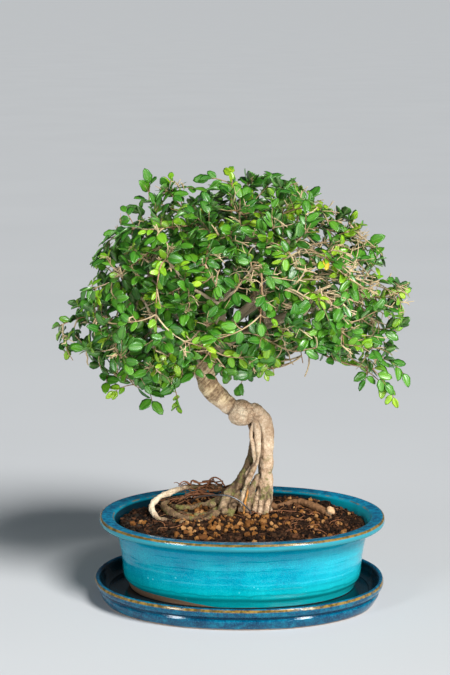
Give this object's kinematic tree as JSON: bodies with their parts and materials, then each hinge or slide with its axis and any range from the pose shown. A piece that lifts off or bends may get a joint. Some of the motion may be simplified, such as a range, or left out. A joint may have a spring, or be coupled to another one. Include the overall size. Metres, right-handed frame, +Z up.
{
  "type": "chinese elm bonsai tree in a glazed pot",
  "caption": "Old S-shaped elm bonsai on bare twisted roots with a wide dome of small leaves, in an oval turquoise glazed pot on its matching drip saucer",
  "frame": {"origin": "on the surface that the saucer stands on, under the centre of the pot", "axes": "+Z up through the tree, +X along the long side of the pot, -Y towards the side that the picture shows"},
  "size_m": [0.3603, 0.2736, 0.4336],
  "materials": {
    "glaze": "glossy mottled turquoise glaze with a brown edge",
    "dark_glaze": "glossy dark blue glaze with a brown edge",
    "bark": "pale grey-brown mottled bark",
    "leaves": "glossy mid-green leaves, the young ones yellow-green",
    "soil": "dark crumbly potting soil with orange-brown grains",
    "screen": "matt black",
    "wire": "dark anodised wire"
  },
  "bodies": {
    "root": {"saucer": "dark_glaze", "pot": "glaze", "trunk_roots_and_limbs": "bark", "tie_wire": "wire", "drain_screen_left": "screen", "drain_screen_right": "screen", "soil": "soil", "spray_01": "leaves", "spray_02": "leaves", "spray_03": "leaves", "spray_04": "leaves", "spray_05": "leaves", "spray_06": "leaves", "spray_07": "leaves", "spray_08": "leaves", "spray_09": "leaves", "spray_10": "leaves", "spray_11": "leaves", "spray_12": "leaves", "spray_13": "leaves", "spray_14": "leaves", "spray_15": "leaves", "spray_16": "leaves", "spray_17": "leaves", "spray_18": "leaves", "spray_19": "leaves", "spray_20": "leaves", "spray_21": "leaves", "spray_22": "leaves", "spray_23": "leaves", "spray_24": "leaves", "spray_25": "leaves", "spray_26": "leaves", "spray_27": "leaves", "spray_28": "leaves", "spray_29": "leaves", "spray_30": "leaves", "spray_31": "leaves", "spray_32": "leaves", "spray_33": "leaves", "spray_34": "leaves", "spray_35": "leaves", "spray_36": "leaves", "spray_37": "leaves", "spray_38": "leaves"}
  },
  "joints": []
}
